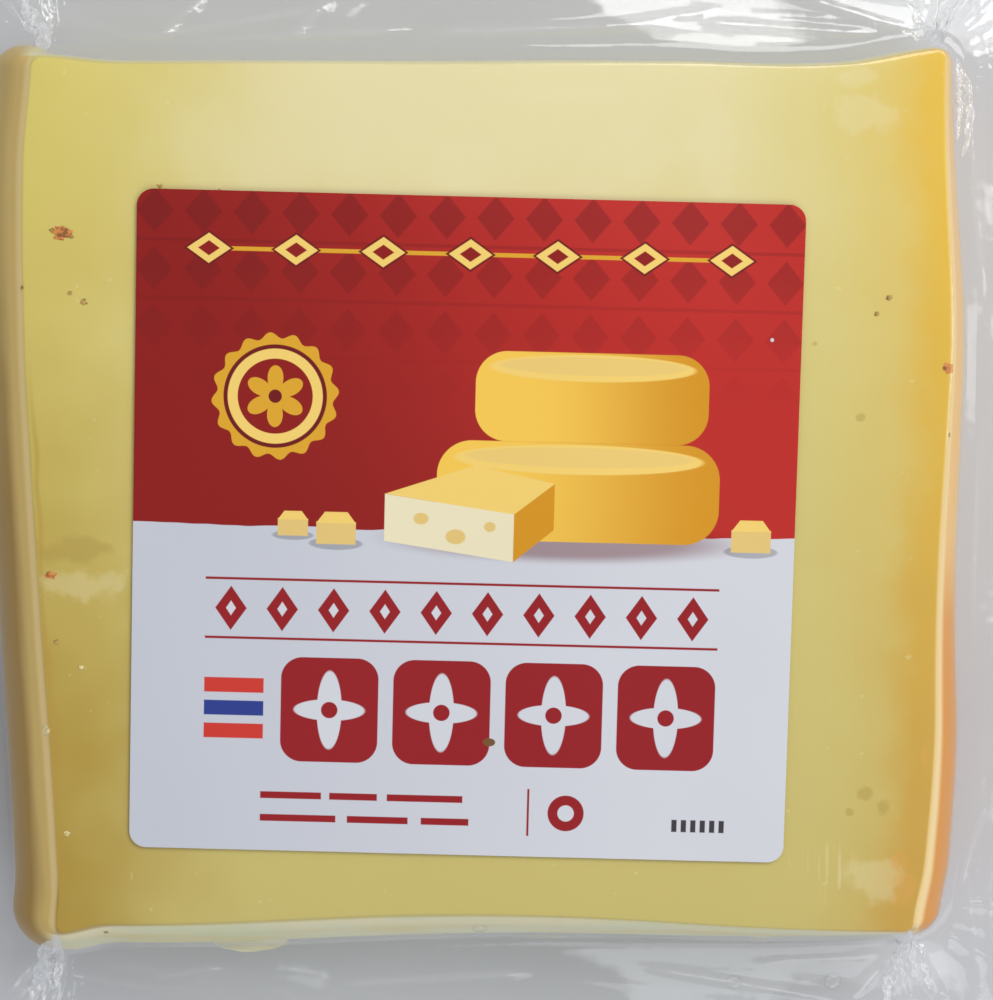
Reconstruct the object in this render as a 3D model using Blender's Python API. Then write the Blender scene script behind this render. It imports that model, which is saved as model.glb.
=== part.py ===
"""Vacuum-packed slab of cheese with a front label: metres, +Z up.

The pack lies on its back. The origin is on the surface it lies on, under the middle of the sealed rim.
+X runs from one rind to the other, +Y towards the top of the label.
The two film webs cling to the slab and meet in a thin rim at about half height, so the pack is one solid.
"""

import math

import bmesh
import bpy
from mathutils import Vector

# The slab, measured on its upper face
SLAB_CENTRE = Vector((0.00275, 0.0010))
HALF_WIDTH = 0.0538  # to the rinds, west and east
HALF_DEPTH = 0.0524  # to the cut sides, south and north
HEIGHT = 0.0250
CORNER_ROUND = 0.0016
FLAT_SHARE = 0.88  # share of the upper face, from its centre, that is dead flat under the label
EDGE_SAG = 0.0002  # how far the upper face falls from there to its edge
TOP_EDGE_ROUND = 0.0006
BOTTOM_EDGE_ROUND = 0.0022

# Where each edge of the upper face really runs, outwards of the plain rectangle: its offset in the middle,
# what that gains towards the north or east end, and its swellings as (height, place from -1 to 1, reach)
EDGE_LINES = {
    "west": (
        0.0010,
        0.0010,
        ((0.0019, 0.35, 1.1), (0.00045, -0.45, 0.6), (0.0006, -1.0, 0.12), (-0.0008, 1.0, 0.25)),
    ),
    "east": (
        -0.0007,
        0.0008,
        (
            (0.0017, 0.35, 0.8),
            (-0.0005, 0.75, 0.45),
            (0.0012, -0.55, 0.5),
            (0.0003, -0.15, 0.35),
            (-0.0008, -1.0, 0.15),
        ),
    ),
    "south": (0.00085, 0.00045, ((0.0012, -1.0, 0.13), (-0.0016, 0.0, 0.9))),
    "north": (-0.00015, 0.0, ((0.0017, 1.02, 0.26), (0.0008, -1.0, 0.2), (-0.0004, 0.65, 0.25))),
}

# How far the sides stand out past that edge at the height of the rim, at their south or west end first
BULGES = {
    "west": (0.0072, 0.0064),
    "east": (0.0049, 0.0023),
    "south": (0.0050, 0.0026),
    "north": (0.0010, 0.0010),
}
SOUTH_BELLY = 0.0013  # how much further the south side stands out in its middle
FOOT_SHARE = 0.12  # share of the bulge that is left at the slab's foot
FOOT_CURVE = 1.7  # above 1, the lower wall turns in late

# The sealed rim
RIM_HALF_X = 0.0790
RIM_HALF_Y = 0.0750
RIM_CORNER = 0.0060
RIM_THICKNESS = 0.0006
RIM_ROOT_Z = 0.0105  # top of the rim where it leaves the slab
RIM_EDGE_Z = 0.0068  # top of the rim at its cut edge
UPPER_FILLET = 0.0024
LOWER_FILLET = 0.0014

# The loose, wavy lie of the rim, as (height, length along X, length along Y, start) of each wave
WAVES = (
    (0.00066, 0.0085, math.inf, 0.7),
    (0.00055, math.inf, 0.0070, -0.4),
    (0.00044, 0.0052, 0.0052, 0.0),
)
WAVE_ONSET = 1.6  # the waves are at full height this many times sooner than the cut edge

# Gathered film at each corner: its direction in degrees from +X, half its spread, and how far out it reaches
EARS = {
    "north_east": (62.0, 15.0, 0.0125),
    "north_west": (112.0, 13.0, 0.0150),
    "south_west": (243.0, 17.0, 0.0160),
    "south_east": (287.0, 14.0, 0.0120),
}
EAR_START = 0.0022  # an ear's crest starts this far under the upper face
EAR_HOLLOW = 0.22  # how far the crest sags, as a share of its fall
EAR_SHARPNESS = 1.3

# The label
LABEL_SIDE = 0.0797
LABEL_CORNER = 0.0020
LABEL_THICKNESS = 0.0003
LABEL_GAP = 0.0003
LABEL_CENTRE = Vector((-0.0011, -0.0027))
LABEL_TURN = math.radians(-1.45)

# How finely the pack is divided: places round it, and places along its profile
SIDE_STEPS = 12
CORNER_STEPS = 12
EVEN_SHARE = 0.4  # how evenly the places on a side are spread: 1 is evenly, less crowds them to its ends
TOP_SHARES = (0.94, 0.975)
TOP_ROUND_ANGLES = (0.0, 32.0, 62.0)
WALL_SHARES = (0.0, 0.2, 0.45, 0.72, 1.0)
UPPER_FILLET_ANGLES = (30.0, 62.0, 90.0)
RIM_SHARES = (0.1, 0.22, 0.36, 0.52, 0.68, 0.84, 1.0)
LOWER_FILLET_ANGLES = (90.0, 45.0, 0.0)
FOOT_SHARES = (0.35, 0.7, 1.0)
BOTTOM_ROUND_ANGLES = (30.0, 60.0, 90.0)
LABEL_CORNER_STEPS = 6
SHARP_ANGLE = math.radians(50)
MERGE_DISTANCE = 1e-7

# The quarters of the slab in order round it from +X, with the signs of their corners
QUARTERS = (("north_east", 1, 1), ("north_west", -1, 1), ("south_west", -1, -1), ("south_east", 1, -1))


def mix(a, b, t):
    return a + (b - a) * t


def swell(t, centre, reach):
    """A smooth bump of height 1 at centre that has died out at reach on either side."""
    return 0.5 + 0.5 * math.cos(math.pi * min(1.0, abs(t - centre) / reach))


def edge_offset(side, t):
    middle, gain, swellings = EDGE_LINES[side]
    return middle + gain * t + sum(height * swell(t, place, reach) for height, place, reach in swellings)


def on_upper_face(x, y):
    """The point of the slightly uneven upper face that stands for a point of its plain rectangle."""
    u, v = x / HALF_WIDTH, y / HALF_DEPTH
    west, east = HALF_WIDTH + edge_offset("west", v), HALF_WIDTH + edge_offset("east", v)
    south, north = HALF_DEPTH + edge_offset("south", u), HALF_DEPTH + edge_offset("north", u)
    return SLAB_CENTRE + Vector((mix(-west, east, (u + 1) / 2), mix(-south, north, (v + 1) / 2)))


def bulge(edge, normal):
    """How far the side stands out at a point of the upper face's edge, in its outward direction."""
    u, v = (edge.x - SLAB_CENTRE.x) / HALF_WIDTH, (edge.y - SLAB_CENTRE.y) / HALF_DEPTH
    across = mix(*BULGES["east" if normal.x > 0 else "west"], (v + 1) / 2)
    along = mix(*BULGES["north" if normal.y > 0 else "south"], (u + 1) / 2)
    if normal.y < 0:
        along += SOUTH_BELLY * max(0.0, 1 - u * u)
    return across * normal.x**2 + along * normal.y**2


def rim_point(start, direction):
    """Where the way from start in a direction crosses the cut edge of the rim."""
    half = Vector((RIM_HALF_X, RIM_HALF_Y))
    ways = [
        (math.copysign(half[axis], direction[axis]) - start[axis]) / direction[axis]
        for axis in (0, 1)
        if abs(direction[axis]) > MERGE_DISTANCE
    ]
    point = start + direction * min(ways)
    past = Vector([abs(point[axis]) - half[axis] + RIM_CORNER for axis in (0, 1)])
    if min(past) <= 0:
        return point
    past = past.normalized() * RIM_CORNER
    return Vector([math.copysign(half[axis] - RIM_CORNER + past[axis], point[axis]) for axis in (0, 1)])


def station(plain, normal, corner=None):
    """A place on the slab's outline: its edge point, outward direction, rim point and corner, if any."""
    edge = on_upper_face(*(plain + normal * CORNER_ROUND))
    return edge, normal, rim_point(on_upper_face(*plain), normal), corner


def stations():
    """The places once round the slab: the rounded corners, with the sides between them."""
    inner = [
        Vector((sx * (HALF_WIDTH - CORNER_ROUND), sy * (HALF_DEPTH - CORNER_ROUND)))
        for _, sx, sy in QUARTERS
    ]
    found = []
    for quarter, (corner, _, _) in enumerate(QUARTERS):
        for k in range(CORNER_STEPS):
            angle = math.pi / 2 * (quarter + k / CORNER_STEPS)
            found.append(station(inner[quarter], Vector((math.cos(angle), math.sin(angle))), corner))
        normal = Vector(((0, 1), (-1, 0), (0, -1), (1, 0))[quarter])
        for k in range(SIDE_STEPS):
            eased = 0.5 - 0.5 * math.cos(math.pi * k / SIDE_STEPS)
            plain = inner[quarter].lerp(inner[(quarter + 1) % 4], mix(eased, k / SIDE_STEPS, EVEN_SHARE))
            found.append(station(plain, normal))
    return found


def rim_height(spot, share):
    """The height of the rim's upper side, share of the way from the slab to the cut edge."""
    waves = sum(
        height * math.sin(spot.x / length_x + spot.y / length_y + start)
        for height, length_x, length_y, start in WAVES
    )
    return mix(RIM_ROOT_Z, RIM_EDGE_Z, share) + waves * min(1.0, WAVE_ONSET * share)


def upper_profile(place):
    """The upper web, from the flat of the upper face to the cut edge of the rim."""
    edge, normal, rim, _ = place
    stand_out = bulge(edge, normal)
    wall_top = HEIGHT - EDGE_SAG - TOP_EDGE_ROUND
    wall_foot = RIM_ROOT_Z + UPPER_FILLET
    profile = [(SLAB_CENTRE.lerp(edge, FLAT_SHARE), HEIGHT)]
    for share in TOP_SHARES:
        fall = EDGE_SAG * ((share - FLAT_SHARE) / (1 - FLAT_SHARE)) ** 2
        profile.append((SLAB_CENTRE.lerp(edge, share), HEIGHT - fall))
    for degrees in TOP_ROUND_ANGLES:
        turn = math.radians(degrees)
        spot = edge - normal * TOP_EDGE_ROUND * (1 - math.sin(turn))
        profile.append((spot, wall_top + TOP_EDGE_ROUND * math.cos(turn)))
    for t in WALL_SHARES:
        profile.append((edge + normal * stand_out * t * (2 - t), mix(wall_top, wall_foot, t)))
    for degrees in UPPER_FILLET_ANGLES:
        turn = math.radians(degrees)
        root = edge + normal * (stand_out + UPPER_FILLET * (1 - math.cos(turn)))
        profile.append((root, wall_foot - UPPER_FILLET * math.sin(turn)))
    for t in RIM_SHARES:
        spot = root.lerp(rim, t)
        profile.append((spot, rim_height(spot, t)))
    return [Vector((*spot, z)) for spot, z in profile]


def with_ear(points, place):
    """The upper web drawn out to the crest of its corner's gathered film, where it has one."""
    edge, normal, _, corner = place
    if corner is None:
        return points
    direction, spread, reach = EARS[corner]
    off = abs((math.degrees(math.atan2(normal.y, normal.x)) - direction + 180) % 360 - 180)
    pull = max(0.0, 1 - off / spread) ** EAR_SHARPNESS
    first = next(k for k, point in enumerate(points) if point.z < HEIGHT - EAR_START)
    last = next(k for k, point in enumerate(points) if (point.xy - edge).dot(normal) > reach)
    start, end = points[first], points[last]
    raised = list(points)
    for k in range(first + 1, last):
        t = (k - first) / (last - first)
        crest = start.lerp(end, t)
        crest.z -= EAR_HOLLOW * (start.z - end.z) * math.sin(math.pi * t)
        raised[k] = points[k].lerp(crest, pull)
    return raised


def lower_profile(place):
    """The lower web, from the cut edge of the rim to the foot of the slab."""
    edge, normal, rim, _ = place
    stand_out = bulge(edge, normal)
    fillet_foot = RIM_ROOT_Z - RIM_THICKNESS - LOWER_FILLET
    root = edge + normal * (stand_out + LOWER_FILLET)
    profile = []
    for t in reversed(RIM_SHARES):
        spot = root.lerp(rim, t)
        profile.append((spot, rim_height(spot, t) - RIM_THICKNESS))
    for degrees in LOWER_FILLET_ANGLES:
        turn = math.radians(degrees)
        spot = edge + normal * (stand_out + LOWER_FILLET * (1 - math.cos(turn)))
        profile.append((spot, fillet_foot + LOWER_FILLET * math.sin(turn)))
    for t in FOOT_SHARES:
        spot = edge + normal * stand_out * mix(1.0, FOOT_SHARE, t**FOOT_CURVE)
        profile.append((spot, mix(fillet_foot, BOTTOM_EDGE_ROUND, t)))
    for degrees in BOTTOM_ROUND_ANGLES:
        turn = math.radians(degrees)
        spot = edge + normal * (stand_out * FOOT_SHARE - BOTTOM_EDGE_ROUND * (1 - math.cos(turn)))
        profile.append((spot, BOTTOM_EDGE_ROUND * (1 - math.sin(turn))))
    return [Vector((*spot, z)) for spot, z in profile]


def wrapped_grid(name, profiles):
    """A grid whose columns become the profiles, side by side once round, closed at the top and bottom."""
    columns, rows = len(profiles), len(profiles[0]) - 1
    bm = bmesh.new()
    bmesh.ops.create_grid(bm, x_segments=columns, y_segments=rows, size=1.0)
    for vert in bm.verts:
        column = round((vert.co.x + 1) / 2 * columns) % columns
        row = round((vert.co.y + 1) / 2 * rows)
        vert.co = profiles[column][row]
    bmesh.ops.remove_doubles(bm, verts=bm.verts, dist=MERGE_DISTANCE)
    bmesh.ops.holes_fill(bm, edges=[edge for edge in bm.edges if edge.is_boundary])
    bmesh.ops.recalc_face_normals(bm, faces=bm.faces)
    mesh = bpy.data.meshes.new(name)
    bm.to_mesh(mesh)
    bm.free()
    return mesh


def material(name, colour, roughness):
    finish = bpy.data.materials.new(name)
    finish.use_nodes = True
    shader = finish.node_tree.nodes["Principled BSDF"]
    shader.inputs["Base Color"].default_value = (*colour, 1.0)
    shader.inputs["Roughness"].default_value = roughness
    return finish


def make_pack(collection):
    profiles = [with_ear(upper_profile(place), place) + lower_profile(place) for place in stations()]
    mesh = wrapped_grid("pack", profiles)
    mesh.materials.append(material("cheese_under_film", (0.78, 0.62, 0.24), 0.3))
    mesh.shade_smooth()
    mesh.set_sharp_from_angle(angle=SHARP_ANGLE)
    collection.objects.link(bpy.data.objects.new("pack", mesh))


def make_label(collection):
    outline = bpy.data.curves.new("label", "CURVE")
    outline.dimensions = "2D"
    outline.fill_mode = "BOTH"
    outline.extrude = LABEL_THICKNESS / 2
    outline.materials.append(material("printed_label", (0.62, 0.05, 0.04), 0.4))
    inner = LABEL_SIDE / 2 - LABEL_CORNER
    points = []
    for quarter, (_, sx, sy) in enumerate(QUARTERS):
        for k in range(LABEL_CORNER_STEPS + 1):
            angle = math.pi / 2 * (quarter + k / LABEL_CORNER_STEPS)
            x = sx * inner + LABEL_CORNER * math.cos(angle)
            y = sy * inner + LABEL_CORNER * math.sin(angle)
            points.append((x, y, 0.0, 1.0))
    spline = outline.splines.new("POLY")
    spline.points.add(len(points) - 1)
    for point, place in zip(spline.points, points):
        point.co = place
    spline.use_cyclic_u = True
    label = bpy.data.objects.new("label", outline)
    label.location = (*LABEL_CENTRE, HEIGHT + LABEL_GAP + LABEL_THICKNESS / 2)
    label.rotation_euler.z = LABEL_TURN
    collection.objects.link(label)


def main():
    for obj in list(bpy.data.objects):
        bpy.data.objects.remove(obj)
    collection = bpy.data.collections.new("vacuum_packed_cheese_slab")
    bpy.context.scene.collection.children.link(collection)
    make_pack(collection)
    make_label(collection)


main()
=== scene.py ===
"""Looks of a vacuum-packed slab of semi-hard cheese with a printed label.

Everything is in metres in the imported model's frame: the pack lies on its back, +Y towards the label's top.
Print on the label is laid out in millimetres from the label's middle, across and up.
Places read from the photograph are pixels of its 993 by 1000 frame, and are put on the part's own surfaces.
"""

import math

import bpy
from mathutils import Euler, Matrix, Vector, noise


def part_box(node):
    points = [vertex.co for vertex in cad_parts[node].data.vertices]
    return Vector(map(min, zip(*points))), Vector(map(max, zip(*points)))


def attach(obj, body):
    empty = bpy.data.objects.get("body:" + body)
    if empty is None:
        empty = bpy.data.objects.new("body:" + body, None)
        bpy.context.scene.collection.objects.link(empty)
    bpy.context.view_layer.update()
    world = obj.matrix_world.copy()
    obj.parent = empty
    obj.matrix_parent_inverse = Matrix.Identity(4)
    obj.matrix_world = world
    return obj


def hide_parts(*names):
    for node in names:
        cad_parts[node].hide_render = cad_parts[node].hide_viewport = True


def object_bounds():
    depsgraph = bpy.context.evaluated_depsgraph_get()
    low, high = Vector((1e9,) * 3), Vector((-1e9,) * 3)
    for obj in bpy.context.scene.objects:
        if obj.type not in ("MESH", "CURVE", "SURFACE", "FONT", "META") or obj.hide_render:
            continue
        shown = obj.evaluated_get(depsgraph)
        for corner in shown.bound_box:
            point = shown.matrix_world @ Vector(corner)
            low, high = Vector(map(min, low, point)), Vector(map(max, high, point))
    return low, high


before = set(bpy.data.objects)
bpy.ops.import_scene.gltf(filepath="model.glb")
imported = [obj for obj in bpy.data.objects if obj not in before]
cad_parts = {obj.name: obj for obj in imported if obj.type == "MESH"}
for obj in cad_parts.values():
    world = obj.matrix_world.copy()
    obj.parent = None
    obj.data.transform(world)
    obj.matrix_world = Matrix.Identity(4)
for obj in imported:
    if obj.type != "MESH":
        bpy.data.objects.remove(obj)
cad_low, cad_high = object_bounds()
bpy.ops.object.select_all(action="DESELECT")

# The slab, as the solid has it
SLAB_CENTRE = Vector((0.00275, 0.0010))
HALF_WIDTH = 0.0538
HALF_DEPTH = 0.0524
HEIGHT = 0.0250
CORNER_ROUND = 0.0016
FLAT_SHARE = 0.88
EDGE_SAG = 0.0002
TOP_EDGE_ROUND = 0.0006
BOTTOM_EDGE_ROUND = 0.0022
EDGE_LINES = {
    "west": (
        0.0010,
        0.0010,
        ((0.0019, 0.35, 1.1), (0.00045, -0.45, 0.6), (0.0006, -1.0, 0.12), (-0.0008, 1.0, 0.25)),
    ),
    "east": (
        -0.0007,
        0.0008,
        (
            (0.0017, 0.35, 0.8),
            (-0.0005, 0.75, 0.45),
            (0.0012, -0.55, 0.5),
            (0.0003, -0.15, 0.35),
            (-0.0008, -1.0, 0.15),
        ),
    ),
    "south": (0.00085, 0.00045, ((0.0012, -1.0, 0.13), (-0.0016, 0.0, 0.9))),
    "north": (-0.00015, 0.0, ((0.0017, 1.02, 0.26), (0.0008, -1.0, 0.2), (-0.0004, 0.65, 0.25))),
}
BULGES = {
    "west": (0.0072, 0.0064),
    "east": (0.0049, 0.0023),
    "south": (0.0050, 0.0026),
    "north": (0.0010, 0.0010),
}
SOUTH_BELLY = 0.0013
FOOT_SHARE = 0.12
FOOT_CURVE = 1.7

# The rim, as the solid has it, but with film of its real thinness
RIM_HALF = Vector((cad_high.x, cad_high.y))
RIM_CORNER = 0.0060
RIM_ROOT_Z = 0.0105
RIM_EDGE_Z = 0.0068
UPPER_FILLET = 0.0024
LOWER_FILLET = 0.0014
WEB_GAP = 0.00022
SEAL_WIDTH = 0.0085
WAVES = (
    (0.00066, 0.0085, math.inf, 0.7),
    (0.00055, math.inf, 0.0070, -0.4),
    (0.00044, 0.0052, 0.0052, 0.0),
)
WAVE_ONSET = 1.6

EARS = {
    "north_east": (62.0, 15.0, 0.0125),
    "north_west": (112.0, 13.0, 0.0150),
    "south_west": (243.0, 17.0, 0.0160),
    "south_east": (287.0, 14.0, 0.0120),
}
EAR_START = 0.0022
EAR_HOLLOW = 0.22
EAR_SHARPNESS = 1.3
QUARTERS = (("north_east", 1, 1), ("north_west", -1, 1), ("south_west", -1, -1), ("south_east", 1, -1))

# The label
LABEL_LOW, LABEL_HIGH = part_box("label")
LABEL_CENTRE = (LABEL_LOW + LABEL_HIGH) / 2
LABEL_SIDE = 0.0797
LABEL_CORNER = 0.0020
LABEL_TURN = math.radians(-1.45)
LABEL_PAPER = 0.00016
LABEL_GAP = 0.00004
LABEL_SWELL = 0.00005

# The camera of the photograph
PHOTO_MIDDLE = Vector((496.5, 500.0))
VIEW_TARGET = Vector((0.00282, 0.00086, HEIGHT))
VIEW_DISTANCE = 0.301
VIEW_TILT = math.radians(5.22)
VIEW_LENS = 90.0
VIEW_SENSOR = 36.0
VIEW_CLIP = (0.01, 10.0)
PIXELS_PER_TANGENT = 1000 * VIEW_LENS / VIEW_SENSOR
VIEW_FORWARD = Vector((0, -math.sin(VIEW_TILT), -math.cos(VIEW_TILT)))
VIEW_UPWARD = Vector((0, math.cos(VIEW_TILT), -math.sin(VIEW_TILT)))
VIEW_EYE = VIEW_TARGET - VIEW_FORWARD * VIEW_DISTANCE


# Plain maths on shapes


UP = Vector((0, 0, 1))


def mix(a, b, t):
    return a + (b - a) * t


def clamp(t):
    return max(0.0, min(1.0, t))


def ease(t):
    t = clamp(t)
    return t * t * (3 - 2 * t)


def swell(t, centre, reach):
    """A smooth bump of height 1 at centre that has died out at reach on either side."""
    return 0.5 + 0.5 * math.cos(math.pi * min(1.0, abs(t - centre) / reach))


def spread(low, high, count):
    """Evenly spaced numbers from low to high, both included."""
    return [mix(low, high, k / (count - 1)) for k in range(count)]


def turns(first, last, count):
    """Evenly spaced angles given in degrees, in radians."""
    return [math.radians(degrees) for degrees in spread(first, last, count)]


CROWDING_STEPS = 4000


def crowded(low, high, middle, reach, gain, count):
    """Numbers from low up to high, without high itself, that stand closer together near middle."""
    places = [mix(low, high, k / CROWDING_STEPS) for k in range(CROWDING_STEPS)]
    weights = [1 + gain * swell(place, middle, reach) for place in places]
    step = sum(weights) / count
    found, passed = [], 0.0
    for place, weight in zip(places, weights):
        if passed >= len(found) * step and len(found) < count:
            found.append(place)
        passed += weight
    return found


def ridges(x, y, z):
    """Noise with sharp crests, from 0 in the hollows to 1 on the crests."""
    return 1 - min(1.0, 2.2 * abs(noise.noise(Vector((x, y, z)))))


def from_segment(spot, start, end):
    """How far a spot is from a straight line, and the share of the line's length where it is nearest."""
    along = end - start
    share = clamp((spot - start).dot(along) / along.length_squared)
    return (spot - start.lerp(end, share)).length, share


def view_ray(x, y):
    """The way that the camera looks at a pixel of the photograph."""
    across, up = (x - PHOTO_MIDDLE.x) / PIXELS_PER_TANGENT, (PHOTO_MIDDLE.y - y) / PIXELS_PER_TANGENT
    return (VIEW_FORWARD + Vector((across, 0, 0)) + VIEW_UPWARD * up).normalized()


def on_photo(x, y, height):
    """The spot at a height above the floor that shows at a pixel of the photograph."""
    ray = view_ray(x, y)
    return (VIEW_EYE + ray * ((height - VIEW_EYE.z) / ray.z)).xy


def on_piece(piece, x, y):
    """Where the line of sight through a pixel of the photograph meets a piece, and how it faces there."""
    found, point, normal, _ = piece.ray_cast(VIEW_EYE, view_ray(x, y))
    if not found:
        raise ValueError(f"nothing of {piece.name} shows at {x}, {y}")
    return point, normal


# The slab's outline


def edge_offset(side, t):
    middle, gain, swellings = EDGE_LINES[side]
    return middle + gain * t + sum(height * swell(t, place, reach) for height, place, reach in swellings)


def half_sizes(u, v):
    """How far the upper face's west, east, south and north edges lie from its middle."""
    across = [HALF_WIDTH + edge_offset(side, v) for side in ("west", "east")]
    return across + [HALF_DEPTH + edge_offset(side, u) for side in ("south", "north")]


def on_upper_face(x, y):
    """The point of the slightly uneven upper face that stands for a point of its plain rectangle."""
    u, v = x / HALF_WIDTH, y / HALF_DEPTH
    west, east, south, north = half_sizes(u, v)
    return SLAB_CENTRE + Vector((mix(-west, east, (u + 1) / 2), mix(-south, north, (v + 1) / 2)))


def bulge(edge, normal):
    """How far the side stands out at a point of the upper face's edge, in its outward direction."""
    u, v = (edge.x - SLAB_CENTRE.x) / HALF_WIDTH, (edge.y - SLAB_CENTRE.y) / HALF_DEPTH
    across = mix(*BULGES["east" if normal.x > 0 else "west"], (v + 1) / 2)
    along = mix(*BULGES["north" if normal.y > 0 else "south"], (u + 1) / 2)
    if normal.y < 0:
        along += SOUTH_BELLY * max(0.0, 1 - u * u)
    return across * normal.x**2 + along * normal.y**2


WALL_TOP = HEIGHT - EDGE_SAG - TOP_EDGE_ROUND
WALL_MIDDLE = RIM_ROOT_Z + UPPER_FILLET
LOWER_WALL_TOP = RIM_ROOT_Z - WEB_GAP - LOWER_FILLET


def edge_arc(place, inset, radius):
    """The rounding of the upper edge, up to where it meets the side, which starts out sloping: (spot, z)."""
    last_turn = math.atan2(WALL_TOP - WALL_MIDDLE, 2 * place["bulge"])
    arc = []
    for turn in spread(0.0, last_turn, 7):
        spot = place["edge"] - place["normal"] * (inset + radius * (1 - math.sin(turn)))
        arc.append((spot, HEIGHT - EDGE_SAG - inset - radius * (1 - math.cos(turn))))
    return arc


def wall_share(z, top):
    """How much of its bulge the side has at a height, when it starts at top."""
    if z >= WALL_MIDDLE:
        t = clamp((top - z) / (top - WALL_MIDDLE))
        return t * (2 - t)
    t = clamp((LOWER_WALL_TOP - z) / (LOWER_WALL_TOP - BOTTOM_EDGE_ROUND))
    return mix(1.0, FOOT_SHARE, t**FOOT_CURVE)


def upper_face_fall(share):
    """How far the upper face has fallen, share of the way from its middle to its edge."""
    return EDGE_SAG * max(0.0, (share - FLAT_SHARE) / (1 - FLAT_SHARE)) ** 2


def rim_point(start, direction):
    """Where the way from start in a direction crosses the cut edge of the rim."""
    ways = [
        (math.copysign(RIM_HALF[axis], direction[axis]) - start[axis]) / direction[axis]
        for axis in (0, 1)
        if abs(direction[axis]) > 1e-7
    ]
    point = start + direction * min(ways)
    past = Vector([abs(point[axis]) - RIM_HALF[axis] + RIM_CORNER for axis in (0, 1)])
    if min(past) <= 0:
        return point
    past = past.normalized() * RIM_CORNER
    return Vector([math.copysign(RIM_HALF[axis] - RIM_CORNER + past[axis], point[axis]) for axis in (0, 1)])


SIDE_STEPS = 148
CORNER_STEPS = 90
EVEN_SHARE = 0.8
EAR_CROWDING = 4.0


def station(plain, normal, corner=None):
    edge = on_upper_face(*(plain + normal * CORNER_ROUND))
    rim = rim_point(on_upper_face(*plain), normal)
    return {"edge": edge, "normal": normal, "rim": rim, "corner": corner, "bulge": bulge(edge, normal)}


def stations():
    """The places once round the slab: the rounded corners, with the sides between them."""
    inner = [
        Vector((sx * (HALF_WIDTH - CORNER_ROUND), sy * (HALF_DEPTH - CORNER_ROUND)))
        for _, sx, sy in QUARTERS
    ]
    found = []
    for quarter, (corner, _, _) in enumerate(QUARTERS):
        direction, half_spread, _ = EARS[corner]
        start = 90.0 * quarter
        for degrees in crowded(start, start + 90, direction, 1.3 * half_spread, EAR_CROWDING, CORNER_STEPS):
            turn = math.radians(degrees)
            found.append(station(inner[quarter], Vector((math.cos(turn), math.sin(turn))), corner))
        normal = Vector(((0, 1), (-1, 0), (0, -1), (1, 0))[quarter])
        for k in range(SIDE_STEPS):
            eased = 0.5 - 0.5 * math.cos(math.pi * k / SIDE_STEPS)
            plain = inner[quarter].lerp(inner[(quarter + 1) % 4], mix(eased, k / SIDE_STEPS, EVEN_SHARE))
            found.append(station(plain, normal))
    return found


# The film

# Creases that fan out from each corner: height, and pitch and reach in degrees
FAN_CREASES = 0.0010
FAN_PITCH = 13
FINE_PITCH = 5
FAN_REACH = 45
# Creases that run along the sides, strongest near the corners
SIDE_CREASES = 0.00030
SIDE_ENDS = (-0.052, 0.057)
SIDE_REACH = 0.034
CREASE_DRIFT = 0.0034
# Pleats of the gathered corners
PLEAT_PITCH = 4.5
EAR_CRUMPLE = 0.0009
CRUMPLE_GRAIN = 700

# Long folds of the rim: both ends in pixels of the photograph, height and half width in metres
FOLDS = (
    ((70, 50), (330, 6), 0.00034, 0.00050),
    ((88, 53), (430, 27), 0.00042, 0.00060),
    ((138, 54), (206, -6), 0.00040, 0.00045),
    ((262, 62), (334, -4), 0.00032, 0.00045),
    ((410, 33), (690, 25), 0.00036, 0.00070),
    ((560, 33), (728, 8), 0.00030, 0.00050),
    ((690, 20), (912, 38), 0.00046, 0.00055),
    ((740, 47), (915, 42), 0.00040, 0.00050),
    ((800, -4), (918, 32), 0.00040, 0.00045),
    ((962, 52), (984, 300), 0.00036, 0.00055),
    ((978, 420), (966, 700), 0.00030, 0.00060),
    ((990, 800), (938, 934), 0.00040, 0.00050),
    ((150, 980), (222, 966), 0.00040, 0.00040),
    ((330, 988), (540, 972), 0.00026, 0.00060),
    ((640, 968), (852, 1004), 0.00030, 0.00050),
    ((850, 1004), (906, 938), 0.00050, 0.00050),
    ((885, 1004), (912, 942), 0.00050, 0.00045),
    ((934, 1000), (920, 940), 0.00046, 0.00045),
    ((-4, 760), (12, 960), 0.00040, 0.00060),
    ((58, 1004), (66, 952), 0.00036, 0.00045),
)
FOLD_LINES = [
    (on_photo(*start, RIM_ROOT_Z), on_photo(*end, RIM_ROOT_Z), height, half_width)
    for start, end, height, half_width in FOLDS
]

# Pockets of whey that lift the upper web: middle, half sizes across and along, and height
DROPS = (
    (Vector((-0.0288, -0.0557)), Vector((0.0050, 0.0031)), 0.0016),
    (Vector((0.0095, -0.0550)), Vector((0.0024, 0.0012)), 0.0009),
    (Vector((0.0368, -0.0555)), Vector((0.0014, 0.0014)), 0.0010),
)

DROP_DEPTH = 0.0001

# Cloudiness of the film along the slab's upper edge and down its sides: (on the edge, on the wall); along
# the edge it is partly a painted highlight line
EDGE_HAZE_AND_HIGHLIGHT = {"west": (0.0, 0.0), "east": (0.04, 0.0), "south": (0.10, 0.16), "north": (0.05, 0.0)}


def facing(normal):
    """The side of the slab that a direction points to most."""
    if abs(normal.x) > abs(normal.y):
        return "east" if normal.x > 0 else "west"
    return "north" if normal.y > 0 else "south"


def rim_height(spot, share):
    waves = sum(
        height * math.sin(spot.x / length_x + spot.y / length_y + start)
        for height, length_x, length_y, start in WAVES
    )
    return mix(RIM_ROOT_Z, RIM_EDGE_Z, share) + waves * min(1.0, WAVE_ONSET * share)


def off_ear(place):
    """How far a place's direction is from its corner's gathered film, in degrees, with its sign."""
    degrees = math.degrees(math.atan2(place["normal"].y, place["normal"].x))
    return (degrees - EARS[place["corner"]][0] + 180) % 360 - 180


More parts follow.
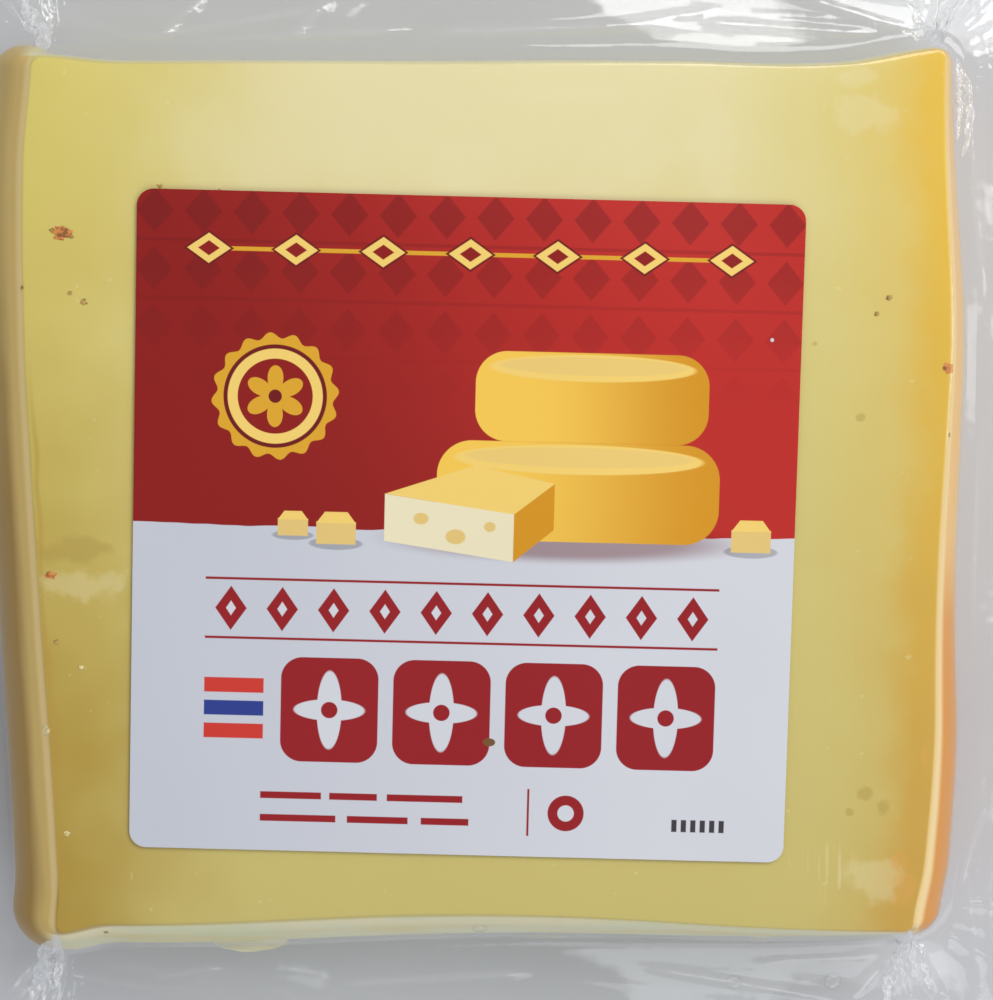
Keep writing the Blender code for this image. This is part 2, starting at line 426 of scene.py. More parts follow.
def rim_creases(place, spot, share):
    """Height and strength of the film's creases at a spot of the rim."""
    free = ease(share / 0.1) * (1 - ease((share - 0.55) / 0.25))
    rise, strength = 0.0, 0.0
    if place["corner"]:
        seed = 3.7 * [name for name, _, _ in QUARTERS].index(place["corner"])
        off = off_ear(place)
        fan = ridges(off / FAN_PITCH, share * 0.7, seed) ** 2
        fine = ridges(off / FINE_PITCH, share * 1.6, seed + 7) ** 3
        middle = 0.25 + 0.75 * swell(off, 0, FAN_REACH)
        rise = FAN_CREASES * (fan + 0.3 * fine) * middle * free
        strength = (0.6 * fan + 0.4 * fine) * middle * free
    along, away = (spot.y, spot.x) if abs(place["normal"].x) > 0.5 else (spot.x, spot.y)
    drift = ridges(away / CREASE_DRIFT + along / 0.03, along / 0.024, 9.1) ** 3
    near_corner = max(swell(along, end, SIDE_REACH) for end in SIDE_ENDS)
    rise += SIDE_CREASES * drift * free * mix(0.3, 1.0, near_corner)
    strength = max(strength, drift * free * mix(0.15, 0.6, near_corner))
    for start, end, height, half_width in FOLD_LINES:
        away, along = from_segment(spot, start, end)
        if away < 3 * half_width:
            crest = math.exp(-((away / half_width) ** 2)) * ease(min(along, 1 - along) * 6)
            rise += height * crest * ease(share / 0.05)
            strength = max(strength, 0.9 * crest)
    return rise, strength


def drop_lift(spot):
    """How far the upper web is lifted over the pockets of whey."""
    return max(
        height * swell(math.hypot((spot - middle).x / half.x, (spot - middle).y / half.y), 0, 1.25)
        for middle, half, height in DROPS
    )


def wall_haze(place, t):
    """Cloudiness of the film at the slab's upper edge, t = 0, and down its side to t = 1; along the edge it
    is partly a painted highlight line.
    """
    on_edge, on_wall = EDGE_HAZE_AND_HIGHLIGHT[facing(place["normal"])]
    edge = place["edge"]
    patchy = clamp(0.65 + 1.1 * noise.noise(Vector((edge.x * 90, edge.y * 90, 5 * t))))
    haze = mix(on_edge * (0.6 + 0.4 * patchy), on_wall * patchy, ease(t / 0.2))
    return haze * (1 - ease((t - 0.75) / 0.25))


def upper_web(place):
    """The upper web, from the flat of the upper face to the cut edge of the rim: (point, crease, haze)."""
    edge, normal, rim, stand_out = place["edge"], place["normal"], place["rim"], place["bulge"]
    profile = []
    for share in spread(FLAT_SHARE, 0.982, 7):
        profile.append((SLAB_CENTRE.lerp(edge, share), HEIGHT - upper_face_fall(share), 0.0, 0.0))
    arc = edge_arc(place, 0.0, TOP_EDGE_ROUND)
    for k, (spot, z) in enumerate(arc):
        profile.append((spot, z, 0.0, wall_haze(place, 0.0) * ease(k / 4)))
    start, top = arc[-1]
    for t in spread(0.0, 1.0, 14)[1:]:
        spot = start.lerp(edge + normal * stand_out, t * (2 - t))
        profile.append((spot, mix(top, WALL_MIDDLE, t), 0.0, wall_haze(place, t)))
    for turn in turns(15.0, 90.0, 6):
        root = edge + normal * (stand_out + UPPER_FILLET * (1 - math.cos(turn)))
        profile.append((root, WALL_MIDDLE - UPPER_FILLET * math.sin(turn), 0.0, 0.0))
    for t in spread(0.0, 1.0, 41)[1:]:
        spot = root.lerp(rim, t)
        rise, crease = rim_creases(place, spot, t)
        profile.append((spot, rim_height(spot, t) + rise, crease, 0.10 * crease))
    web = []
    for spot, z, crease, haze in profile:
        lift = drop_lift(spot) if z < WALL_MIDDLE else 0.0
        web.append((Vector((*spot, z + lift)), crease, haze))
    return web


def with_ear(web, place):
    """The upper web drawn out to the crest of its corner's gathered film, in crumpled pleats."""
    if not place["corner"]:
        return web
    edge, normal = place["edge"], place["normal"]
    direction, half_spread, reach = EARS[place["corner"]]
    seed = direction * 0.37
    off = off_ear(place)
    pull = max(0.0, 1 - abs(off) / half_spread) ** EAR_SHARPNESS
    if pull == 0:
        return web
    first = next(k for k, (point, _, _) in enumerate(web) if point.z < HEIGHT - EAR_START)
    last = next(k for k, (point, _, _) in enumerate(web) if (point.xy - edge).dot(normal) > reach)
    start, end = web[first][0], web[last][0]
    sideways = Vector((-normal.y, normal.x, 0.0))
    raised = list(web)
    for k in range(first + 1, last):
        t = (k - first) / (last - first)
        crest = start.lerp(end, t)
        crest.z -= EAR_HOLLOW * (start.z - end.z) * math.sin(math.pi * t)
        pleat = ridges(off / PLEAT_PITCH + 0.8 * t, 2.2 * t, seed)
        point = web[k][0].lerp(crest, pull * mix(0.72, 1.0, pleat))
        rough = EAR_CRUMPLE * math.sin(math.pi * t) * min(1.0, 2 * pull)
        point += sideways * rough * noise.noise(point * CRUMPLE_GRAIN)
        point.z += 0.5 * rough * noise.noise(point * 1500 + sideways)
        strength = min(1.0, 2 * pull) * ease(3 * t) * ease(4 * (1 - t))
        haze = strength * (0.10 + 0.34 * pleat**3)
        raised[k] = (point, max(web[k][1], strength * mix(0.3, 1.0, pleat)), max(web[k][2], haze))
    return raised


def lower_web(place):
    """The lower web, from the cut edge of the rim to the foot of the slab: (point, crease, haze)."""
    edge, normal, rim, stand_out = place["edge"], place["normal"], place["rim"], place["bulge"]
    root = edge + normal * (stand_out + LOWER_FILLET)
    profile = []
    for t in spread(1.0, 0.0, 16)[:-1]:
        spot = root.lerp(rim, t)
        profile.append((spot, rim_height(spot, t) - WEB_GAP))
    for turn in turns(90.0, 0.0, 4):
        spot = edge + normal * (stand_out + LOWER_FILLET * (1 - math.cos(turn)))
        profile.append((spot, LOWER_WALL_TOP + LOWER_FILLET * math.sin(turn)))
    for t in spread(0.16, 1.0, 6):
        spot = edge + normal * stand_out * mix(1.0, FOOT_SHARE, t**FOOT_CURVE)
        profile.append((spot, mix(LOWER_WALL_TOP, BOTTOM_EDGE_ROUND, t)))
    for turn in turns(18.0, 90.0, 4):
        spot = edge + normal * (stand_out * FOOT_SHARE - BOTTOM_EDGE_ROUND * (1 - math.cos(turn)))
        profile.append((spot, BOTTOM_EDGE_ROUND * (1 - math.sin(turn))))
    return [(Vector((*spot, z)), 0.0, 0.0) for spot, z in profile]


# Working on meshes


def named(name):
    obj = bpy.context.object
    obj.name = obj.data.name = name
    return obj


def alone(obj):
    """Makes a piece the only selected one and the active one."""
    bpy.ops.object.select_all(action="DESELECT")
    obj.select_set(True)
    bpy.context.view_layer.objects.active = obj


def wrapped(name, webs, *attributes):
    """A closed skin made from a grid whose columns, given as rows of (point, values...), go once round."""
    columns, rows = len(webs), len(webs[0]) - 1
    bpy.ops.mesh.primitive_grid_add(x_subdivisions=columns, y_subdivisions=rows, size=2)
    skin = named(name)
    for attribute in attributes:
        skin.data.attributes.new(attribute, "FLOAT", "POINT")
    layers = [skin.data.attributes[attribute].data for attribute in attributes]
    for vertex in skin.data.vertices:
        column = round((vertex.co.x + 1) / 2 * columns) % columns
        row = round((vertex.co.y + 1) / 2 * rows)
        vertex.co, *values = webs[column][row]
        for layer, value in zip(layers, values):
            layer[vertex.index].value = value
    alone(skin)
    bpy.ops.object.mode_set(mode="EDIT")
    bpy.ops.mesh.select_all(action="SELECT")
    bpy.ops.mesh.remove_doubles(threshold=1e-6)
    bpy.ops.mesh.fill_holes(sides=0)
    bpy.ops.mesh.select_all(action="SELECT")
    bpy.ops.mesh.normals_make_consistent(inside=False)
    bpy.ops.object.mode_set(mode="OBJECT")
    return skin


def settle(obj, finish, slot, *replaced, sharp=60.0):
    """Gives a finished piece its smoothness, its material and its place in the frame."""
    alone(obj)
    bpy.ops.object.shade_smooth_by_angle(angle=math.radians(sharp))
    bpy.ops.object.transform_apply(location=True, rotation=True, scale=True)
    obj.select_set(False)
    obj.data.materials.clear()
    obj.data.materials.append(finish)
    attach(obj, "root")
    if replaced:
        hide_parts(*replaced)
    return obj


# Shader maths


class Value:
    """A number that changes over a surface. Arithmetic on it adds Math nodes."""

    def __init__(self, finish, socket):
        self.finish = finish
        self.socket = socket

    def math(self, operation, *others, **settings):
        made = self.finish.node("ShaderNodeMath", {"operation": operation, **settings}, self, *others)
        return Value(self.finish, made.outputs[0])

    def __add__(self, other):
        return self.math("ADD", other)

    __radd__ = __add__

    def __mul__(self, other):
        return self.math("MULTIPLY", other)

    __rmul__ = __mul__

    def __sub__(self, other):
        return self.math("SUBTRACT", other)

    def __rsub__(self, other):
        return self.math("MULTIPLY_ADD", -1.0, other)

    def __truediv__(self, other):
        return self.math("DIVIDE", other)

    def __pow__(self, other):
        return self * self if other == 2 else self.math("POWER", other)

    def __abs__(self):
        return self.math("ABSOLUTE")

    def least(self, other):
        return self.math("MINIMUM", other)

    def most(self, other):
        return self.math("MAXIMUM", other)

    def clamped(self):
        return self.math("ADD", 0.0, use_clamp=True)


class Finish:
    """A material being put together from nodes."""

    def __init__(self, name):
        self.material = bpy.data.materials.new(name)
        self.material.use_nodes = True
        self.tree = self.material.node_tree
        self.tree.nodes.clear()

    def node(self, kind, settings=None, *values, **named_values):
        """A node of any kind: its settings are set first, then its sockets by place or by name."""
        made = self.tree.nodes.new(kind)
        for key, value in (settings or {}).items():
            setattr(made, key, value)
        for key, value in [*enumerate(values), *named_values.items()]:
            self.fill(made.inputs[key if isinstance(key, int) else key.replace("_", " ")], value)
        return made

    def fill(self, socket, value):
        if isinstance(value, Value):
            value = value.socket
        if isinstance(value, bpy.types.NodeSocket):
            self.tree.links.new(value, socket)
        elif value is not None:
            socket.default_value = value

    def attribute(self, name):
        return Value(self, self.node("ShaderNodeAttribute", {"attribute_name": name}).outputs["Fac"])

    def place(self):
        """Where the surface point is, as a vector socket."""
        return self.node("ShaderNodeTexCoord").outputs["Object"]

    def moved(self, vector, location=(0, 0, 0), turn=0.0, unit=1.0):
        """A vector measured from location, turned back by turn, in units of unit."""
        made = self.node(
            "ShaderNodeMapping",
            {"vector_type": "TEXTURE"},
            Vector=vector,
            Location=location,
            Rotation=(0, 0, turn),
            Scale=(unit, unit, unit),
        )
        return made.outputs[0]

    def split(self, vector):
        made = self.node("ShaderNodeSeparateXYZ", None, vector)
        return [Value(self, socket) for socket in made.outputs]

    def noise(self, vector, scale, detail=2.0, roughness=0.5, stretch=None):
        if stretch:
            vector = self.node("ShaderNodeVectorMath", {"operation": "MULTIPLY"}, vector, stretch).outputs[0]
        made = self.node(
            "ShaderNodeTexNoise", None, Vector=vector, Scale=scale, Detail=detail, Roughness=roughness
        )
        return Value(self, made.outputs[0])

    def distance(self, plane, middle, halves):
        """How far across and up a point of a plane is from middle, with halves as the units."""
        scale = [1 / half for half in halves]
        start = [-at * unit for at, unit in zip(middle, scale)]
        settings = {"operation": "MULTIPLY_ADD"}
        moved = self.node("ShaderNodeVectorMath", settings, plane, (*scale, 0), (*start, 0)).outputs[0]
        made = self.node("ShaderNodeVectorMath", {"operation": "LENGTH"}, moved)
        return Value(self, made.outputs["Value"])

    def ramp(self, value, low, high, start=0.0, end=1.0):
        """start where value is at or under low, end at or over high."""
        settings = {"interpolation_type": "SMOOTHSTEP"}
        made = self.node("ShaderNodeMapRange", settings, value, low, high, start, end)
        return Value(self, made.outputs[0])

    def fall(self, value, low, high):
        """1 where value is at or under low, 0 at or over high."""
        return self.ramp(value, low, high, 1.0, 0.0)

    def blend(self, share, first, second):
        """The first colour where share is 0 and the second where it is 1."""
        made = self.node("ShaderNodeMix", {"data_type": "RGBA"})
        for place, value in ((0, share), (6, first), (7, second)):
            self.fill(made.inputs[place], value)
        return made.outputs[2]

    def bump(self, height, distance, strength=1.0):
        made = self.node("ShaderNodeBump", None, Strength=strength, Distance=distance, Height=height)
        return made.outputs[0]

    def surface(self, **values):
        return self.node("ShaderNodeBsdfPrincipled", None, **values)

    def over_clear(self, share, shader, tint):
        """The finished material of a clear sheet: the shader has its share, and the rest is see-through."""
        clear = self.node("ShaderNodeBsdfTransparent", None, Color=(*tint, 1.0))
        mixed = self.node("ShaderNodeMixShader", None, share, clear.outputs[0], shader.outputs[0])
        return self.output(mixed)

    def output(self, shader):
        self.node("ShaderNodeOutputMaterial", None, Surface=shader.outputs[0])
        return self.material


def colour(red, green, blue):
    """A colour given as 0 to 255 on a screen, as Blender's linear one."""
    parts = [part / 255 for part in (red, green, blue)]
    return (*[part / 12.92 if part < 0.04045 else ((part + 0.055) / 1.055) ** 2.4 for part in parts], 1.0)


# Finishes

# Paste tones for the upper face: the southern one darker as painted shade, the northern one lighter as
# painted light
PASTE_SHADED_SOUTH = colour(203, 187, 107)
PASTE_LIT_NORTH = colour(223, 207, 126)
# Paler paste: painted sheen on the north of the upper face and where the film lets go, and real pale flecks
PASTE_PALE_AND_SHEEN = colour(234, 223, 172)
# Tones along the west rind: the southern one darker as painted shade
WEST_SHADED_SOUTH = colour(173, 140, 40)
WEST_LIT_NORTH = colour(221, 204, 106)
RIND_LINE = colour(184, 148, 54)
# The east rind's gold: its southern tone darker as painted shade
RIND_GOLD = (colour(200, 154, 54), colour(232, 186, 42))
# The west side: lighter at the top and darker low down and to the south, partly painted light and shade
WEST_WALL = (colour(224, 190, 104), colour(168, 128, 24))
WEST_WALL_NORTH = colour(206, 172, 84)
# The east side: its pale top a painted highlight, over an orange rind lower down
EAST_WALL = (colour(244, 212, 146), colour(222, 144, 16))
EAST_WALL_NORTH = colour(240, 190, 104)
# Painted highlight: cream along the rounded upper edge over both rinds
EDGE_HIGHLIGHT_CREAM = colour(244, 214, 146)
CUT_WALL = (colour(238, 228, 180), colour(222, 212, 152))
CUT_WALL_WET = colour(214, 224, 186)
OLIVE = colour(176, 148, 64)
ORANGE = colour(218, 162, 74)

# Marks on the upper face: middle and half sizes in pixels of the photograph
# Pale marks: painted sheen where the film lets go of the paste
PALE_MARKS = (
    (869, 114, 27, 17),
    (857, 76, 15, 9),
    (716, 149, 16, 52),
    (875, 880, 26, 20),
    (84, 585, 40, 15),
    (560, 92, 70, 9),
    (462, 165, 30, 26),
    (640, 150, 38, 22),
)
OLIVE_MARKS = (
    (75, 551, 37, 13),
    (865, 794, 8, 7),
    (883, 808, 8, 9),
    (850, 813, 4, 4),
    (861, 418, 5, 4),
    (815, 344, 4, 3),
)
ORANGE_MARKS = (
    (901, 860, 8, 11),
    (906, 890, 11, 16),
    (925, 757, 4, 9),
)
STREAKED_MARKS = ((824, 872, 30, 24),)
PIXEL_SIZE = 0.1205
MARK_SOFTNESS = 0.35
FROM_EDGES = [f"from_{side}" for side in ("west", "east", "south", "north")]


def cheese_finish():
    """Moist paste, palest at the top by painted sheen and darker to the south by painted shade, deeper at
    the two rinds, marked where the film presses or lets go, the pale marks being painted sheen.
    """
    finish = Finish("semi_hard_cheese")
    ramp, fall, blend = finish.ramp, finish.fall, finish.blend
    place = finish.place()
    plane = finish.moved(place, unit=0.001)
    _, y, z = finish.split(plane)
    west, east, south, north = [finish.attribute(name) for name in FROM_EDGES]
    cloud = finish.noise(place, 60.0, 2.0, 0.6) - 0.5
    uneven = finish.noise(place, 260.0, 3.0, 0.65) - 0.5
    ragged = uneven * 2.6
    # Darker to the south and lighter to the north: painted shade and light, as if the light fell off
    # southwards
    up = ramp(y + cloud * 30, -62.0, 62.0)
    paste = blend(up, PASTE_SHADED_SOUTH, PASTE_LIT_NORTH)

    def lay(share, tone):
        nonlocal paste
        paste = blend(share, paste, tone)

    def lay_marks(places, strength, tone):
        nearest = None
        for mark_x, mark_y, half_x, half_y in places:
            middle = on_photo(mark_x, mark_y, HEIGHT) * 1000
            away = finish.distance(plane, middle, (half_x * PIXEL_SIZE, half_y * PIXEL_SIZE))
            nearest = away if nearest is None else nearest.least(away)
        lay(fall(nearest + ragged, 1 - MARK_SOFTNESS, 1 + MARK_SOFTNESS) * strength, tone)

    # The upper face, paler in the north by painted sheen, darker in the south by painted shade, and deeper
    # along both rinds
    lay(ramp(y + cloud * 24, 8.0, 48.0) * ramp(west.least(east) + cloud * 16, 6.0, 38.0) * 0.85, PASTE_PALE_AND_SHEEN)
    lay(fall(west + cloud * 16, 0.5, 24.0), blend(up, WEST_SHADED_SOUTH, WEST_LIT_NORTH))
    gold = blend(up, *RIND_GOLD)
    lay(fall(east + cloud * 10, 4.0, 16.0) * 0.35, gold)
    lay(fall(east + cloud * 7 + uneven * 3, 1.5, 7.5) * 0.85, gold)
    thin_line = fall(abs(west - 1.0 + cloud * 2), 0.12, 0.45) * fall(y, 5.0, 20.0)
    wide_line = fall(west + cloud * 4, 0.6, 2.2) * fall(y + cloud * 20, -22.0, 2.0)
    lay((thin_line * 0.5).most(wide_line * 0.7), RIND_LINE)
    # Its marks, the pale ones painted sheen where the film lets go
    lay_marks(PALE_MARKS, 0.3, PASTE_PALE_AND_SHEEN)
    upright = ramp(finish.noise(place, 900.0, 1.0, 0.5, (1.9, 0.12, 1.0)), 0.48, 0.68)
    lay_marks(STREAKED_MARKS, upright * 0.3, PASTE_PALE_AND_SHEEN)
    lay_marks(OLIVE_MARKS, 0.5, OLIVE)
    lay_marks(ORANGE_MARKS, 0.5, ORANGE)
    lay(ramp(finish.noise(place, 900.0, 1.0), 0.74, 0.8) * 0.25, PASTE_PALE_AND_SHEEN)
    # The rinds at the west and east sides, lit at the top and shaded low down partly by painted light and
    # shade, and a painted highlight of cream along each upper edge
    streaks = (finish.noise(place, 150.0, 2.0, 0.6, (1.0, 0.3, 2.0)) - 0.5) * 1.6
    lower = fall(z + streaks, 20.9, 23.0)
    west_low = blend(ramp(y + cloud * 30, 0.0, 40.0), WEST_WALL[1], WEST_WALL_NORTH)
    lay(fall(west, -0.3, 0.1), blend(lower, WEST_WALL[0], west_low))
    east_low = blend(ramp(y + cloud * 20, -24.0, -2.0), EAST_WALL[1], EAST_WALL_NORTH)
    lay(fall(east, -0.3, 0.1), blend(fall(z + streaks * 0.4, 22.2, 23.4), EAST_WALL[0], east_low))
    # A painted highlight of cream along the rounded upper edges
    lay(ramp(z, 23.3, 24.0) * fall(west.least(east), 0.1, 0.6) * 0.8, EDGE_HIGHLIGHT_CREAM)
    # The two cut sides, wet in the south
    cut = fall(south.least(north), -0.2, 0.3) * ramp(west.least(east), -2.0, 0.3)
    wet = ramp(finish.noise(place, 200.0, 2.0, 0.6, (0.4, 1.0, 1.6)), 0.42, 0.6) * ramp(y, 0.0, -1.0)
    lay(cut * 0.85, blend(wet * 0.6, blend(lower, *CUT_WALL), CUT_WALL_WET))
    relief = finish.noise(place, 55.0, 0.0) + finish.noise(place, 480.0, 0.0) * 0.12
    normal = finish.bump(relief, 0.0005, 0.5)
    return finish.output(
        finish.surface(Base_Color=paste, Roughness=0.42, Normal=normal, Specular_IOR_Level=0.3)
    )


def film_finish():
    """Clear glossy film: it shows by its shine, by haze where it is creased, stretched or sealed, and by
    haze along the slab's upper edges that is partly a painted highlight line.
    """
    finish = Finish("clear_film")
    place = finish.place()
    crease, haze = finish.attribute("crease"), finish.attribute("haze")
    x, y, _ = finish.split(place)
    past_seal = (abs(x) - (RIM_HALF.x - SEAL_WIDTH)).most(abs(y) - (RIM_HALF.y - SEAL_WIDTH))
    seal = finish.ramp(past_seal, 0.0, 0.0004)
    ribs = finish.node("ShaderNodeTexWave", {"bands_direction": "DIAGONAL"}, Vector=place, Scale=170.0)
    relief = finish.noise(place, 85.0, 0.0) + finish.noise(place, 600.0, 0.0) * (crease * 0.25 + 0.06)
    relief = relief + Value(finish, ribs.outputs["Fac"]) * seal * 0.1
    normal = finish.bump(relief, 0.0005, 0.7)
    turned = finish.node("ShaderNodeLayerWeight", None, Blend=0.5, Normal=normal).outputs["Facing"]
    shine = Value(finish, turned) ** 6 * 0.7 + crease * 0.07 + 0.045
    cloud = haze + seal * 0.05
    shader = finish.surface(
        Base_Color=colour(246, 247, 249),
        Metallic=shine / (shine + cloud),
        Roughness=crease * 0.1 + 0.08,
        Normal=normal,
        Specular_IOR_Level=0.0,
    )
    return finish.over_clear((shine + cloud).clamped(), shader, (0.985, 0.985, 0.985))


def whey_finish(name, tones, cloud, mirror, sharpness, tint):
    """Thin whey or a blister of air: see-through in the middle, and solid where the surface turns away."""
    finish = Finish(name)
    turned = Value(finish, finish.node("ShaderNodeLayerWeight", None, Blend=0.5).outputs["Facing"])
    shader = finish.surface(Base_Color=finish.blend(turned**2, *tones), Metallic=mirror, Roughness=0.08)
    return finish.over_clear((turned**sharpness * 0.8 + cloud).clamped(), shader, tint)


def speck_finish(name, dark, light):
    """A crumb of browned curd."""
    finish = Finish(name)
    tone = finish.ramp(finish.noise(finish.place(), 1700.0, 3.0), 0.36, 0.58)
    return finish.output(finish.surface(Base_Color=finish.blend(tone, dark, light), Roughness=0.5))


# The label's print, in millimetres from the label's middle

PRINT_EDGE = 0.09
RED = colour(190, 42, 36)
RED_DEEP = colour(142, 24, 20)
RED_DARK = colour(112, 18, 20)
INK_RED = colour(150, 28, 34)
WHITE = colour(212, 213, 220)
# Painted shade: the label's white where it lies darker, towards the left
WHITE_SHADED = colour(198, 201, 210)
GOLD = colour(222, 166, 44)
GOLD_LIGHT = colour(244, 208, 112)
CREAM = colour(236, 226, 190)
CREAM_WARM = colour(228, 196, 120)
WHEEL = (colour(214, 148, 30), colour(246, 200, 82))
INK_DARK = colour(64, 60, 66)
INK_BLUE = colour(44, 62, 140)
STRIPE_RED = colour(206, 58, 48)
BORDER_HEIGHT = -0.2
BAR_HALVES = (3.7, 2.9, 4.6)
FLECK_ON_LABEL = (489, 742)
DOT_ON_LABEL = (772, 340)


def on_label(pixel):
    """A pixel of the photograph in the label's own millimetres."""
    away = on_photo(*pixel, HEIGHT) - LABEL_CENTRE.xy
    turn = Euler((0, 0, -LABEL_TURN)).to_matrix()
    return (turn @ Vector((*away, 0)) * 1000).xy


class Print:
    """Printed fields on a plane: each method gives how much of a field covers the point, from 0 to 1."""

    def __init__(self, finish, u, v):
        self.finish = finish
        self.u = u
        self.v = v
        self.plane = finish.node("ShaderNodeCombineXYZ", None, u, v).outputs[0]

    def inside(self, distance):
        """1 where a distance to an outline, in millimetres, is under 0."""
        return distance.math("MULTIPLY_ADD", -1 / PRINT_EDGE, 0.5, use_clamp=True)

    def box(self, u, v, half_u, half_v, round_by=0.0):
        across = abs(self.u - u) - (half_u - round_by)
        up = abs(self.v - v) - (half_v - round_by)
        if not round_by:
            return self.inside(across.most(up))
        corner = (across.most(0.0) ** 2 + up.most(0.0) ** 2).math("SQRT")
        return self.inside(corner + across.most(up).least(0.0) - round_by)

    def ellipse(self, u, v, half_u, half_v):
        away = self.finish.distance(self.plane, (u, v), (half_u, half_v))
        return self.inside((away - 1) * min(half_u, half_v))

    def lozenge(self, u, v, half_u, half_v):
        slope = half_u * half_v / math.hypot(half_u, half_v)
        return self.inside((abs(self.u - u) / half_u + abs(self.v - v) / half_v - 1) * slope)

    def trapezoid(self, u, v, half_u, half_v, slope):
        """A field with a level base, whose two sides lean in by slope."""
        up = self.v - v
        return self.inside((abs(self.u - u) + up * slope - half_u).most(abs(up) - half_v))

    def polygon(self, *corners):
        """A convex field, its corners in order anticlockwise."""
        distance = None
        for (u1, v1), (u2, v2) in zip(corners, corners[1:] + corners[:1]):
            length = math.hypot(u2 - u1, v2 - v1)
            away_u, away_v = (v2 - v1) / length, (u1 - u2) / length
            side = self.u * away_u + self.v * away_v - (u1 * away_u + v1 * away_v)
            distance = side if distance is None else distance.most(side)
        return self.inside(distance)

    def repeated(self, middle_u, pitch_u, count):
        """The same print once for each of a row of places, seen from each place's own middle."""
        first = middle_u - pitch_u * (count - 1) / 2
        step = ((self.u - first) / pitch_u).math("ROUND").most(0.0).least(count - 1.0)
        return Print(self.finish, self.u - first - step * pitch_u, self.v)


